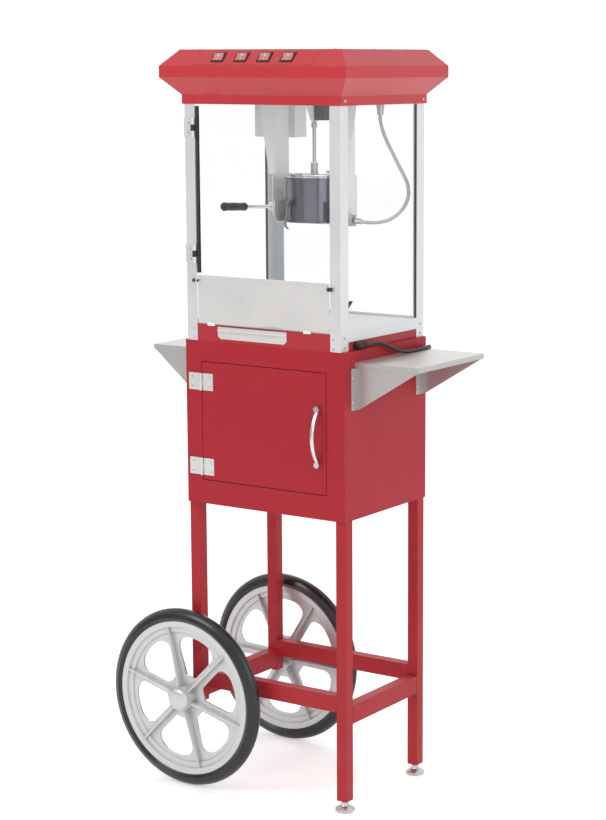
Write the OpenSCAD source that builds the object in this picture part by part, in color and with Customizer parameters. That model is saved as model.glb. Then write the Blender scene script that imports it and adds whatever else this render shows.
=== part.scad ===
// Popcorn cart: a glass popcorn machine on a two-wheeled cabinet cart.
// +Z is up, the front (door and drawer side) faces -Y, the wheels are on the left (-X).

/* [Cart frame] */
// Half width of the leg frame, outside to outside
leg_half_x = 205.4; // [204:0.2:206]
// Half depth of the leg frame, outside to outside
leg_half_y = 154.2; // [150:0.2:156]
// Side of the square leg tube
tube = 25; // [22:1:28]
// Wall of the leg tube
tube_wall = 1.2; // [1:0.1:1.5]
// Height of the front and rear cross bars
bar_h = 36; // [30:1:40]
// Height of the two side bars
side_bar_h = 40; // [38:1:44]

/* [Wheels] */
// Outer radius of the wheel and its tyre
wheel_r = 200; // [195:1:205]
// Radius of the tyre's round section
tyre_r = 17; // [14:1:18]
// Distance from the cart's middle to each wheel's middle plane
wheel_y = 189; // [187:1:195]
// Radius of the axle rod
axle_r = 6; // [5:0.5:6]
// Turn of the front wheel's first spoke
spoke_turn = 45; // [0:1:59]
// Turn of the rear wheel's first spoke
rear_spoke_turn = 2; // [0:1:59]

/* [Cabinet] */
// Half width of the cabinet
cab_half_x = 206.5; // [205.5:0.5:210]
// Half depth of the cabinet
cab_half_y = 159.5; // [157:0.5:162]
// Height of the cabinet's underside
cab_low = 636.3; // [600:1:660]
// Height of the cabinet's top
cab_top = 994.4; // [980:0.2:1000]
// Width of the cabinet door
door_w = 324; // [300:1:330]
// Height of the cabinet door
door_h = 258; // [230:1:262]

/* [Shelves] */
// How far the right shelf stands out from the cabinet
shelf_out = 157; // [140:1:170]
// How far the left shelf stands out from the cabinet
left_shelf_out = 120; // [119:1:150]
// Height of the top of the shelves
shelf_z = 970.4; // [950:0.2:975]
// Height of the triangular shelf brackets
gusset_h = 100; // [80:1:120]

/* [Machine] */
// Half width over the corner posts
post_half_x = 199; // [198:0.5:204]
// Half depth over the corner posts
post_half_y = 161.4; // [160.4:0.2:164]
// Height of the ceiling, where the posts end
ceiling_z = 1497.5; // [1480:0.5:1510]
// Height of the machine's red base
base_h = 36; // [34:1:40]
// Height of the steel flap below the glass door
flap_h = 100; // [80:1:104]
// Full opening of the crumb drawer's front, left and right edges
drawer_x = [-118, 62];

/* [Kettle] */
// Outer radius of the kettle
kettle_r = 62; // [55:1:64]
// Underside of the kettle
kettle_low = 1245; // [1240:1:1250]
// Top rim of the kettle
kettle_top = 1340; // [1330:1:1345]
// Distance of the kettle's middle behind the cart's middle
kettle_y = 34; // [30:1:38]
// Height of the axis that the kettle tips about
tilt_z = 1272; // [1268:1:1278]

/* [Topper] */
// Half width and half depth of the topper's flat top
topper_top = [206, 165];
// Half width and half depth of the topper's upright band
topper_band = [238, 197];
// Half width and half depth of the topper's lower flange
topper_low = [204.3, 163.5];
// Overall height of the cart
top_z = 1611; // [1605:1:1615]

/* [Power cord] */
// Outside diameter of the power cord
cord_d = 7.5; // [7:0.5:8]

/* [Hidden] */
$fn = 64;

// colours
red = [0.70, 0.20, 0.22];
steel = [0.80, 0.79, 0.77];
alu = [0.88, 0.88, 0.90];
black = [0.10, 0.10, 0.11];
silver = [0.82, 0.83, 0.84];
dark_steel = [0.38, 0.38, 0.42];
clear = [0.85, 0.95, 0.98, 0.3];
white = [0.93, 0.92, 0.90];

// small fits
run = 0.05;      // radial running clearance of pins and shafts
gap = 0.6;       // working gap between moving panels and what they pass
sheet = 1.5;     // thickness of most sheet metal

// The cart's middle stands beside the frame's origin, so that the origin is the middle of the box.
axle_x = -197.5;
axle_z = wheel_r;
right_edge = cab_half_x + shelf_out;
left_edge = -axle_x + wheel_r;
cart_x = (left_edge - right_edge) / 2;

// leg frame
leg_x = leg_half_x - tube / 2;
leg_y = leg_half_y - tube / 2;
right_leg_z = 24;
left_leg_z = 183;
bar_z = 219.5;
side_bar_z = 192.5;
stem_r = 5;

// wheel
rim_r = 168;
rim_lip_r = 173;
rim_half = 13;
web_half = 2.5;
hub_r = 27;
hub_half = 21;
cap_r = 25;
axle_half = wheel_y + hub_half + 6;
// spoke window: a rounded trapezoid between two spokes, symmetric about +X
window_pts = [[50, -14], [118, -53], [137, -26], [139, 0], [137, 26], [118, 53], [50, 14]];
window_rs = [9, 20, 40, 60, 40, 20, 9];

// cabinet door
door_x0 = -164;
door_z0 = 690;
door_gap = 1.5;
pan_depth = 17;
hinge_x = door_x0 - 1;
hinge_y = -cab_half_y - 3.5;
hinge_zs = [700, 886];
hinge_h = 37;
knuckle_r = 3;
pin_r = 1.5;
handle_x = 142;
handle_z0 = 754;
handle_h = 118;
handle_out = 30;

// shelves
shelf_y = [-121, 142];
lip = 11;

// machine case
post_t = 2;
post_w = [26, 29];
base_half_x = post_half_x - post_t;
base_half_y = post_half_y - post_t;
base_z = cab_top;
floor_z = base_z + base_h;
rail_z = [1013, 1037];
flap_z = 1036;
flap_half = 170;
flap_axis = [-165.5, flap_z + flap_h - 12];
glass = 4;
side_pane_y = [-154, 152.4];
glass_z = [flap_z + flap_h + 4, ceiling_z - 4];
glass_hinge = [-174, -166.5];
glass_hinge_zs = [1161, 1428];
glass_hinge_h = 40;
glass_knuckle_r = 4.5;

// kettle
hanger_x = 86;
rim_flare = 4;
sleeve_top = 1371;
lid_axis_z = kettle_top + 4.2;
lever_x = -112;
lever_rise = 3.3;
lever_len = 172;
hook_angle = 115;
lamp_x = [-186, -78];

// topper levels: half width, half depth, height
topper_levels = [[topper_low.x, topper_low.y, ceiling_z], [topper_low.x, topper_low.y, 1517],
  [topper_band.x, topper_band.y, 1553], [topper_band.x, topper_band.y, 1577],
  [topper_top.x, topper_top.y, top_z]];
switch_xs = [-90.3, -31, 27.7, 86];
slope_run = topper_band.y - topper_top.y;
slope_rise = top_z - 1577;
slope_tilt = atan2(slope_rise, slope_run);
slope_mid = [0, -(topper_band.y + topper_top.y) / 2, (top_z + 1577) / 2];
rocker = [24, 18];
rocker_axis = -2;

gland = [210, -105, 1003.6];

// Route of the power cord from its gland over the right shelf and behind the cabinet to the coil
cord_route = [[210, -78, 1003.6], [210, -70, 1003.6], [210, -62, 1003.6], [211, -45, 1003],
  [214, -25, 999.5], [218, -5, 991], [222, 15, 982.5], [225, 35, 976.8], [227, 55, 974.7],
  [227.5, 80, 974.25], [227, 105, 974.25], [226, 127, 974.4], [223.5, 142, 975.2], [219, 155, 973],
  [212, 166, 966.5], [201, 173.5, 957], [186, 176, 947], [160, 174, 932], [120, 170, 916],
  [75, 167, 905], [30, 165.5, 899.5], [-15, 165, 898.5], [-60, 165.5, 902], [-105, 168, 911],
  [-140, 171.5, 923], [-170, 175, 938], [-190, 176, 950], [-205, 172, 961], [-215, 163, 970],
  [-222, 151, 974.8], [-226.5, 142, 974.6], [-234, 133, 974.3], [-246, 127, 974.25],
  [-258, 125, 974.25], [-267, 124.6, 974.25]];
coil_c = [-267, 84.6, shelf_z];
coil_mid_r = 40;
plug_at = [coil_c.x - coil_mid_r - 17.6, 24.6, shelf_z];

// Route of the armoured lead from the ceiling to the kettle's hanger
conduit_route = [[117, 115, 1473], [117, 115, 1461], [123, 116, 1438], [134.5, 117, 1413],
  [147, 119, 1390], [158.5, 121, 1368], [168, 123, 1351], [175, 124, 1338], [180.5, 124.5, 1325],
  [183, 124, 1312], [184, 122, 1301], [183, 118, 1290], [179, 112, 1277], [173, 104, 1266],
  [164, 95, 1256], [154, 86, 1249.5], [143, 76, 1246], [132, 66, 1245], [121, 56, 1245.5],
  [111.5, 48, 1247.5]];
conduit_d = 8.5;

// ---- helpers ----
module cart() translate([cart_x, 0, 0]) children();
module block(lo, hi) translate(lo) cube(hi - lo);
module rod_x(r, x0, x1, y, z) translate([x0, y, z]) rotate([0, 90, 0]) cylinder(r = r, h = x1 - x0);
module rod_y(r, x, y0, y1, z) translate([x, y0, z]) rotate([-90, 0, 0]) cylinder(r = r, h = y1 - y0);
module rod_z(r, x, y, z0, z1) translate([x, y, z0]) cylinder(r = r, h = z1 - z0);
module both_y() for (s = [0, 1]) mirror([0, s, 0]) children();
module both_x() for (s = [0, 1]) mirror([s, 0, 0]) children();

// points of a closed outline with each corner rounded to its own radius
function unit(v) = v / norm(v);
function corner(a, b, c, r, n) =
  let (u = unit(a - b), w = unit(c - b), half = acos(u * w) / 2, m = unit(u + w),
    o = b + m * r / sin(half), p = b + u * r / tan(half), q = b + w * r / tan(half),
    t0 = atan2(p.y - o.y, p.x - o.x), t1 = atan2(q.y - o.y, q.x - o.x),
    dt = t1 - t0 > 180 ? t1 - t0 - 360 : t1 - t0 < -180 ? t1 - t0 + 360 : t1 - t0)
  [for (i = [0:n]) o + r * [cos(t0 + dt * i / n), sin(t0 + dt * i / n)]];
function rounded(pts, rs, n = 5) =
  let (k = len(pts))
  [for (i = [0:k - 1]) each corner(pts[(i + k - 1) % k], pts[i], pts[(i + 1) % k], rs[i], n)];

// a stack of rectangular rings joined by flat sides
module stack(levels) {
  n = len(levels);
  pts = [for (l = levels) each [[-l.x, -l.y, l.z], [l.x, -l.y, l.z], [l.x, l.y, l.z], [-l.x, l.y, l.z]]];
  sides = [for (i = [0:n - 2], k = [0:3])
    [4 * i + k, 4 * i + 4 + k, 4 * i + 4 + (k + 1) % 4, 4 * i + (k + 1) % 4]];
  polyhedron(pts, concat([[0, 1, 2, 3]], sides, [[4 * n - 1, 4 * n - 2, 4 * n - 3, 4 * n - 4]]));
}

// a round tube swept along a route
function side_of(t) = unit(cross(t, abs(t.z) > 0.8 ? [0, 1, 0.3] : [0, 0, 1]));
module sweep(route, d, n = 8) {
  k = len(route);
  tangent = [for (i = [0:k - 1]) unit(route[min(i + 1, k - 1)] - route[max(i - 1, 0)])];
  pts = [for (i = [0:k - 1]) let (u = side_of(tangent[i]), v = cross(tangent[i], u))
    each [for (j = [0:n - 1]) route[i] + d / 2 * (u * cos(360 * j / n) + v * sin(360 * j / n))]];
  skin = [for (i = [0:k - 2], j = [0:n - 1])
    [n * i + j, n * i + (j + 1) % n, n * (i + 1) + (j + 1) % n, n * (i + 1) + j]];
  polyhedron(pts, concat([[for (j = [n - 1:-1:0]) j]], skin, [[for (j = [0:n - 1]) n * (k - 1) + j]]));
}

// extra points between a route's own points, on a smooth curve through them
function spline(a, b, c, d, t) =
  0.5 * (2 * b + (c - a) * t + (2 * a - 5 * b + 4 * c - d) * t * t + (3 * b - a - 3 * c + d) * t * t * t);
function smooth(r, m) = let (k = len(r))
  [for (i = [0:k - 2], j = [0:m - 1])
      spline(r[max(i - 1, 0)], r[i], r[i + 1], r[min(i + 2, k - 1)], j / m), r[k - 1]];

// ---- cart frame ----
module hollow_bar(lo, hi, dir) {
  w = tube_wall;
  in_lo = lo + [dir == 0 ? -1 : w, dir == 1 ? -1 : w, dir == 2 ? -1 : w];
  in_hi = hi - [dir == 0 ? -1 : w, dir == 1 ? -1 : w, dir == 2 ? -1 : w];
  difference() {
    block(lo, hi);
    block(in_lo, in_hi);
  }
}

module frame_legs() color(red) cart() {
  for (sx = [-1, 1], sy = [-1, 1]) {
    z0 = sx > 0 ? right_leg_z : left_leg_z;
    x = sx * leg_x;
    y = sy * leg_y;
    difference() {
      union() {
        hollow_bar([x - tube / 2, y - tube / 2, z0], [x + tube / 2, y + tube / 2, cab_low], 2);
        block([x - tube / 2, y - tube / 2, z0], [x + tube / 2, y + tube / 2, z0 + 4]);
      }
      if (sx > 0) rod_z(stem_r + run, x, y, z0 - 1, z0 + 5);
      else rod_y(axle_r + run, axle_x, y - tube, y + tube, axle_z);
    }
  }
}

module frame_bars() color(red) cart() {
  for (sy = [-1, 1])
    hollow_bar([-leg_x + tube / 2, sy * leg_y - tube / 2, bar_z],
      [leg_x - tube / 2, sy * leg_y + tube / 2, bar_z + bar_h], 0);
  for (sx = [-1, 1])
    hollow_bar([sx * leg_x - tube / 2, -leg_y + tube / 2, side_bar_z],
      [sx * leg_x + tube / 2, leg_y - tube / 2, side_bar_z + side_bar_h], 1);
}

module levelling_foot(sy) translate([leg_x, sy * leg_y, 0]) {
  rotate_extrude() polygon([[0, 0], [19, 0], [21, 2], [21, 6], [18, 8], [10, 13], [8, 16], [0, 16]]);
  cylinder(r = 8.5, h = 21, $fn = 6);
  cylinder(r = stem_r, h = 62);
}
module levelling_foot_front() color(silver) cart() levelling_foot(-1);
module levelling_foot_rear() color(silver) cart() levelling_foot(1);

// ---- axle and wheels ----
module axle() color(silver) cart() rod_y(axle_r, axle_x, -axle_half, axle_half, axle_z);

module axle_hardware() color(silver) cart() both_y() {
  // spacer between leg and hub, then washer and nut outside the hub
  difference() {
    union() {
      rod_y(11, axle_x, leg_half_y, wheel_y - hub_half - gap, axle_z);
      rod_y(11, axle_x, wheel_y + hub_half + gap, wheel_y + hub_half + gap + 1.5, axle_z);
      translate([axle_x, wheel_y + hub_half + gap + 1.5, axle_z]) rotate([-90, 0, 0])
        cylinder(r = 10, h = 5, $fn = 6);
    }
    rod_y(axle_r, axle_x, leg_half_y - 1, wheel_y + 40, axle_z);
  }
}

module rim(turn) {
  difference() {
    union() {
      rotate_extrude($fn = 96) polygon([[hub_r - 8, -web_half], [146, -web_half], [147.5, -6],
        [158, -7], [160, -12.3], [rim_lip_r, -rim_half], [rim_lip_r, -9], [rim_r, -6],
        [rim_r, 6], [rim_lip_r, 9], [rim_lip_r, rim_half], [160, 12.3], [158, 7], [147.5, 6],
        [146, web_half], [hub_r - 8, web_half]]);
      cylinder(r = hub_r, h = 2 * hub_half, center = true);
      for (i = [0:5]) rotate(turn + 60 * i) rotate([90, 0, 0]) translate([0, 0, -2])
        linear_extrude(4) polygon([[hub_r - 4, -hub_half + 0.5], [160, -11.5], [160, 11.5],
          [hub_r - 4, hub_half - 0.5]]);
    }
    for (i = [0:5]) rotate(turn + 30 + 60 * i) translate([0, 0, -20])
      linear_extrude(40) polygon(rounded(window_pts, window_rs));
    cylinder(r = axle_r + run, h = 100, center = true);
  }
}
module tyre() rotate_extrude($fn = 96) difference() {
  translate([wheel_r - tyre_r, 0]) circle(r = tyre_r, $fn = 48);
  polygon([[wheel_r - 2 * tyre_r - 1, -20], [rim_lip_r, -20], [rim_lip_r, -9], [rim_r, -6],
    [rim_r, 6], [rim_lip_r, 9], [rim_lip_r, 20], [wheel_r - 2 * tyre_r - 1, 20]]);
}
// hollow domed cap, open towards the hub
module wheel_cap() rotate_extrude() polygon([[cap_r - 2, 0], [cap_r, 0], [cap_r, 6], [cap_r - 1.5, 9.5],
  [cap_r - 6, 12.6], [cap_r - 12, 14.3], [0, 15], [0, 13], [cap_r - 12, 12.3], [cap_r - 7, 10.8],
  [cap_r - 3.2, 8], [cap_r - 2, 5]]);
module at_wheel(side)
  translate([axle_x, side * wheel_y, axle_z]) rotate([side < 0 ? 90 : -90, 0, 0]) children();
module wheel_rim_front() color(silver) cart() at_wheel(-1) rim(spoke_turn);
module wheel_tyre_front() color(black) cart() at_wheel(-1) tyre();
module wheel_cap_front() color(silver) cart() at_wheel(-1) translate([0, 0, hub_half]) wheel_cap();
module wheel_rim_rear() color(silver) cart() at_wheel(1) rim(rear_spoke_turn);
module wheel_tyre_rear() color(black) cart() at_wheel(1) tyre();
module wheel_cap_rear() color(silver) cart() at_wheel(1) translate([0, 0, hub_half]) wheel_cap();

// ---- cabinet ----
module cabinet_shell() color(red) cart() difference() {
  block([-cab_half_x, -cab_half_y, cab_low], [cab_half_x, cab_half_y, cab_top]);
  block([-cab_half_x + sheet, -cab_half_y + sheet, cab_low + sheet],
    [cab_half_x - sheet, cab_half_y - sheet, cab_top - sheet]);
  block([door_x0 - door_gap, -cab_half_y - 1, door_z0 - door_gap],
    [door_x0 + door_w + door_gap, -cab_half_y + 5, door_z0 + door_h + door_gap]);
}

module cabinet_door() color(red) cart() difference() {
  block([door_x0, -cab_half_y, door_z0], [door_x0 + door_w, -cab_half_y + pan_depth, door_z0 + door_h]);
  block([door_x0 + sheet, -cab_half_y + sheet, door_z0 + sheet],
    [door_x0 + door_w - sheet, -cab_half_y + 20, door_z0 + door_h - sheet]);
  for (z = [handle_z0, handle_z0 + handle_h]) rod_y(2.5, handle_x, -cab_half_y - 1, -cab_half_y + 3, z);
}

// bow handle: two feet with studs through the door and an arched grip
module door_handle() color(silver) cart() {
  r = (pow(handle_h / 2, 2) + pow(handle_out - 6, 2)) / (2 * (handle_out - 6));
  a = asin(handle_h / 2 / r);
  zc = handle_z0 + handle_h / 2;
  difference() {
    union() {
      translate([handle_x, -cab_half_y - handle_out + 4.5 + r, zc]) rotate([0, 90, 0])
        rotate([0, 0, 270 - a]) rotate_extrude(angle = 2 * a) translate([r, 0])
          circle(r = 4.5, $fn = 24);
      for (s = [-1, 1]) translate([handle_x, -cab_half_y, zc + s * handle_h / 2]) rotate([90, 0, 0])
        cylinder(r = 6.5, h = 11);
    }
    block([0, -cab_half_y, 600], [300, -cab_half_y + 80, 1000]);
  }
  for (z = [handle_z0, handle_z0 + handle_h]) rod_y(2.5, handle_x, -cab_half_y - 1, -cab_half_y + 6, z);
}

// one butt hinge: knuckle segments and a flat leaf, about a pin along Z
module leaf(x0, x1, y_face, t, segs, z, h, pos, r, pin) {
  n = 3;
  difference() {
    union() {
      block([x0, y_face, z], [x1, y_face + t, z + h]);
      for (i = segs) translate([pos.x, pos.y, z + h * i / n + 0.1]) {
        cylinder(r = r, h = h / n - 0.2);
        w = x0 > pos.x ? x0 - pos.x + 1 : x1 - pos.x - 1;
        translate([min(0, w), y_face - pos.y, 0]) cube([abs(w), t, h / n - 0.2]);
      }
    }
    rod_z(pin + run, pos.x, pos.y, z - 1, z + h + 1);
  }
}

module cabinet_door_hinge_leaves() color(silver) cart() for (z = hinge_zs) {
  leaf(hinge_x + 3.4, -134, -cab_half_y - sheet, sheet, [1], z,
    hinge_h, [hinge_x, hinge_y], knuckle_r, pin_r);
  for (dz = [8, 29]) screw_y(-142, z + dz, -cab_half_y - sheet, 2.6);
}

module fixed_hinge_leaves() color(silver) cart() {
  for (z = hinge_zs)
    leaf(-198.6, hinge_x - 3.4, -cab_half_y - sheet, sheet, [0, 2], z,
      hinge_h, [hinge_x, hinge_y], knuckle_r, pin_r);
  for (z = hinge_zs) rod_z(pin_r, hinge_x, hinge_y, z - 1, z + hinge_h + 1);
  // angle leaves wrapped round the glass case's front left post, with their pins
  for (z = glass_hinge_zs) {
    leaf(-post_half_x - sheet, glass_hinge.x - 5, -post_half_y - sheet, sheet, [0, 2], z,
      glass_hinge_h, glass_hinge, glass_knuckle_r, pin_r);
    block([-post_half_x - sheet, -post_half_y - sheet, z],
      [-post_half_x, -post_half_y + 22, z + glass_hinge_h]);
    rod_z(pin_r, glass_hinge.x, glass_hinge.y, z - 1, z + glass_hinge_h + 1);
  }
}

// magnetic catches: inside the cabinet, inside the case's right post, and two below the flap
module magnet_catches() color(white) cart() {
  block([door_x0 + door_w - 40, -cab_half_y + pan_depth + 1, door_z0 + door_h - 10],
    [door_x0 + door_w - 12, -cab_half_y + pan_depth + 15, cab_top - sheet]);
  for (x = [-135, 115])
    block([x - 9, -post_half_y - 2, flap_z - 8], [x + 9, -base_half_y, flap_z - 2 * gap]);
}

// ---- shelves ----
module shelf(out) {
  t = 1.2;
  edge = cab_half_x + out;
  difference() {
    block([cab_half_x, shelf_y[0], shelf_z - lip], [edge, shelf_y[1], shelf_z]);
    block([cab_half_x - 1, shelf_y[0] + t, shelf_z - lip - 1], [edge - t, shelf_y[1] - t, shelf_z - t]);
  }
}
module shelf_right() color(steel) cart() shelf(shelf_out);
module shelf_left() color(steel) cart() mirror([1, 0, 0]) shelf(left_shelf_out);

// triangular gusset with a wall flange, just inside each end of a shelf
module gusset(y, side, out) {
  t = 1.2;
  x0 = cab_half_x;
  x1 = x0 + out - 3;
  z1 = shelf_z - t;
  translate([0, y, 0]) rotate([90, 0, 0]) linear_extrude(t)
    polygon([[x0, shelf_z - gusset_h], [x0 + 8, shelf_z - gusset_h], [x1, shelf_z - lip], [x1, z1],
      [x0, z1]]);
  block([x0, y - (side < 0 ? 16 : 22), shelf_z - gusset_h], [x0 + t, y - t / 2, z1 - lip]);
}
module shelf_brackets() color(steel) cart() for (s = [0, 1]) mirror([s, 0, 0]) {
  out = s == 0 ? shelf_out : left_shelf_out;
  gusset(shelf_y[0] + 2 * 1.2 + 0.05, -1, out);
  gusset(shelf_y[1] - 1.2 - 0.05, 1, out);
}

// ---- machine base ----
module machine_base() color(red) cart() {
  t = sheet;
  difference() {
    block([-base_half_x, -base_half_y, base_z], [base_half_x, base_half_y, floor_z]);
    block([-base_half_x + t, -base_half_y + t, base_z + t],
      [base_half_x - t, base_half_y - t, floor_z + 1]);
    block([drawer_x[0] + 4, -base_half_y - 1, base_z + 7.8],
      [drawer_x[1] - 4, -base_half_y + t + 1, floor_z - 2.4]);
    rod_x(6.5, base_half_x - 3, base_half_x + 1, gland.y, gland.z);
  }
  // two ledges that carry the drawer, each with a guide strip at its side
  for (s = [0, 1]) {
    x = s == 0 ? drawer_x[0] + 2 : drawer_x[1] - 12;
    block([x, -base_half_y + t, base_z + t], [x + 10, 80, base_z + 7.8]);
    block([x + 8 * s, -base_half_y + t, base_z + t], [x + 8 * s + 2, 80, base_z + 14]);
  }
}

module crumb_drawer() color(steel) cart() {
  x0 = drawer_x[0] + 7;
  x1 = drawer_x[1] - 7;
  z0 = base_z + 8;
  z1 = floor_z - 5;
  difference() {
    block([x0, -base_half_y - 1, z0], [x1, 70, z1]);
    block([x0 + 1, -base_half_y + 1, z0 + 1], [x1 - 1, 69, z1 + 1]);
  }
  // front plate with clipped lower corners, and the finger lip
  translate([0, -base_half_y - 0.5, 0]) rotate([90, 0, 0]) linear_extrude(sheet)
    polygon([[drawer_x[0] + 7, 1001], [drawer_x[1] - 7, 1001], [drawer_x[1], 1007],
      [drawer_x[1], 1027], [drawer_x[0], 1027], [drawer_x[0], 1007]]);
  translate([0, 0, 1019]) linear_extrude(1.5) polygon([[drawer_x[0] + 4, -base_half_y - 9],
    [drawer_x[1] - 4, -base_half_y - 9], [drawer_x[1], -base_half_y - 5], [drawer_x[1], -base_half_y - 1.5],
    [drawer_x[0], -base_half_y - 1.5], [drawer_x[0], -base_half_y - 5]]);
}

// steel deck of the case, with rows of crumb slots over the drawer
module case_floor() color(steel) cart() difference() {
  block([-base_half_x, -base_half_y + 1, floor_z], [base_half_x, base_half_y, floor_z + sheet]);
  for (i = [0:7], j = [0:3])
    block([-96 + 18 * i, -110 + 42 * j, floor_z - 1], [-92 + 18 * i, -84 + 42 * j, floor_z + 3]);
}

// warming element under the deck, a bent rod in two clips
module deck_heater() color(dark_steel) cart() {
  x0 = 80;
  for (i = [0:3]) rod_y(4, x0 + 26 * i, -100, 100, base_z + 22);
  for (i = [0:2]) translate([x0 + 13 + 26 * i, i % 2 == 0 ? 100 : -100, base_z + 22])
    rotate([0, 0, i % 2 == 0 ? 0 : 180]) rotate_extrude(angle = 180) translate([13, 0])
      circle(r = 4, $fn = 24);
  for (y = [-60, 60]) block([x0 - 8, y - 6, base_z + sheet], [x0 + 86, y + 6, base_z + 18.2]);
}

// ---- glass case ----
module case_frame() color(alu) cart() {
  both_x() both_y() {
    block([post_half_x - post_w[0], post_half_y - post_t, base_z], [post_half_x, post_half_y, ceiling_z]);
    block([post_half_x - post_t, post_half_y - post_w[1], base_z], [post_half_x, post_half_y, ceiling_z]);
  }
  both_x() block([base_half_x, -post_half_y + post_w[1], rail_z[0]],
    [post_half_x, post_half_y - post_w[1], rail_z[1]]);
  // rear rail
  block([-post_half_x + post_w[0], base_half_y, rail_z[0]],
    [post_half_x - post_w[0], post_half_y, rail_z[1]]);
}

module fixed_panes() color(clear) cart() {
  z0 = floor_z + sheet;
  z1 = ceiling_z - 0.5;
  both_x() block([base_half_x - glass, side_pane_y[0], z0], [base_half_x, side_pane_y[1], z1]);
  block([-base_half_x + glass + 1, base_half_y - glass, z0],
    [base_half_x - glass - 1, base_half_y, z1]);
}
// black edge strips of the panes
module pane_gaskets() color(black) cart() {
  z0 = floor_z + sheet;
  both_x() block([base_half_x, post_half_y - post_w[1] - 7, rail_z[1]],
    [base_half_x + 1.5, post_half_y - post_w[1], ceiling_z - 1]);
  // rubber buffer for the glass door behind the front right post
  translate([186.5, 0, 0]) rotate([90, 0, 90]) linear_extrude(6.5)
    polygon([[-153, 1077], [-128, 1077], [-106, 1096], [-153, 1096]]);
}

module glass_door() color(clear) cart()
  block([-171, -base_half_y, glass_z[0]], [171.5, -base_half_y + glass, glass_z[1]]);
module glass_door_edge() color(black) cart() difference() {
  block([-172, -base_half_y - 1, glass_z[0]], [-165.5, -base_half_y + glass + 1, glass_z[1]]);
  block([-171, -base_half_y, glass_z[0] - 1], [-160, -base_half_y + glass, glass_z[1] + 1]);
}
module glass_door_hinge_leaves() color(black) cart() for (z = glass_hinge_zs) {
  x = glass_hinge.x;
  difference() {
    union() {
      translate([x, glass_hinge.y, z + glass_hinge_h / 3 + 0.1]) {
        cylinder(r = glass_knuckle_r, h = glass_hinge_h / 3 - 0.2);
        translate([0, 1.5, 0]) cube([8.5, 2.2, glass_hinge_h / 3 - 0.2]);
      }
      block([x + 5.2, glass_hinge.y + 1.5, z], [x + 8.5, -base_half_y - 1, z + glass_hinge_h]);
    }
    rod_z(pin_r + run, x, glass_hinge.y, z - 1, z + glass_hinge_h + 1);
  }
}

// ---- flap below the glass door ----
module front_flap() color(steel) cart() {
  y0 = -post_half_y + 0.4;
  t = 1.2;
  difference() {
    union() {
      block([-flap_half, y0, flap_z], [flap_half, y0 + t, flap_z + flap_h]);
      // hems along the top and the bottom
      block([-flap_half + 4, y0 - 0.8, flap_z + flap_h - 6], [flap_half - 4, y0 + t, flap_z + flap_h]);
      block([-flap_half, y0, flap_z], [flap_half, y0 + 6, flap_z + t]);
      // ears that hold the pivots
      for (s = [-1, 1]) block([s * flap_half - (s > 0 ? 2 : 0), flap_axis[0] - 5, flap_axis[1] - 6],
        [s * flap_half + (s > 0 ? 0 : 2), y0 + t, flap_axis[1] + 6]);
    }
    for (s = [-1, 1]) rod_x(2.5 + run, s * flap_half - 5, s * flap_half + 5, flap_axis[0], flap_axis[1]);
  }
}
// black pivot knobs on the posts, each with the pin that the flap swings on
module flap_knobs() color(black) cart() both_x() {
  rod_x(2.5, flap_half - 4, flap_half + 2, flap_axis[0], flap_axis[1]);
  rod_x(4, flap_half + 1, flap_half + 9, flap_axis[0], flap_axis[1]);
  block([flap_half + 2, flap_axis[0], flap_axis[1] - 4], [flap_half + 9, -post_half_y, flap_axis[1] + 4]);
}

// ---- topper ----
module on_slope(x) translate([x, slope_mid.y, slope_mid.z]) rotate([slope_tilt, 0, 0]) children();
module topper_shell() color(red) cart() difference() {
  union() {
    stack(topper_levels);
    on_slope(0) translate([-152, -20, -1]) cube([306, 38, 1.8]);
  }
  t = 1.6;
  stack([for (l = topper_levels)
    [l.x - t, l.y - t, l.z == top_z ? l.z - t : l.z == ceiling_z ? l.z - 1 : l.z]]);
  for (x = switch_xs) on_slope(x) translate([-14, -11.5, -12]) cube([28, 23, 20]);
}
module ceiling_plate() color(steel) cart() difference() {
  block([-topper_low.x + 1.7, -topper_low.y + 1.7, ceiling_z],
    [topper_low.x - 1.7, topper_low.y - 1.7, ceiling_z + sheet]);
  rod_z(9, 0, kettle_y, ceiling_z - 1, ceiling_z + 5);
  rod_z(5, 117, 115, ceiling_z - 1, ceiling_z + 5);
}
// gear motor in the topper, its gearbox reaching through to the drive shaft
module gear_motor() color(dark_steel) cart() difference() {
  union() {
    block([14, kettle_y - 20, 1462], [40, kettle_y + 10, ceiling_z]);
    translate([0, kettle_y, 1460]) cylinder(r1 = 7.5, r2 = 18, h = ceiling_z - 1460);
    block([-12, kettle_y - 26, ceiling_z + sheet], [60, kettle_y + 26, ceiling_z + 28]);
    rod_x(22, 60, 120, kettle_y, ceiling_z + 24);
    rod_z(8.9, 0, kettle_y, ceiling_z - 1, ceiling_z + 4);
  }
  rod_z(4 + run, 0, kettle_y, 1440, 1482);
}

// ---- switches ----
module switch_bezels() color(black) cart() for (x = switch_xs) on_slope(x) difference() {
  union() {
    translate([-15.5, -13, 0.8]) cube([31, 26, 2]);
    translate([-14, -11.5, -11]) cube([28, 23, 12]);
  }
  translate([-rocker.x / 2 - 0.4, -rocker.y / 2 - 1.3, -9])
    cube([rocker.x + 0.8, rocker.y + 2.6, 20]);
  rod_x(1 + run, -rocker.x / 2 - 1.4, rocker.x / 2 + 1.4, 0, rocker_axis);
}
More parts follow.
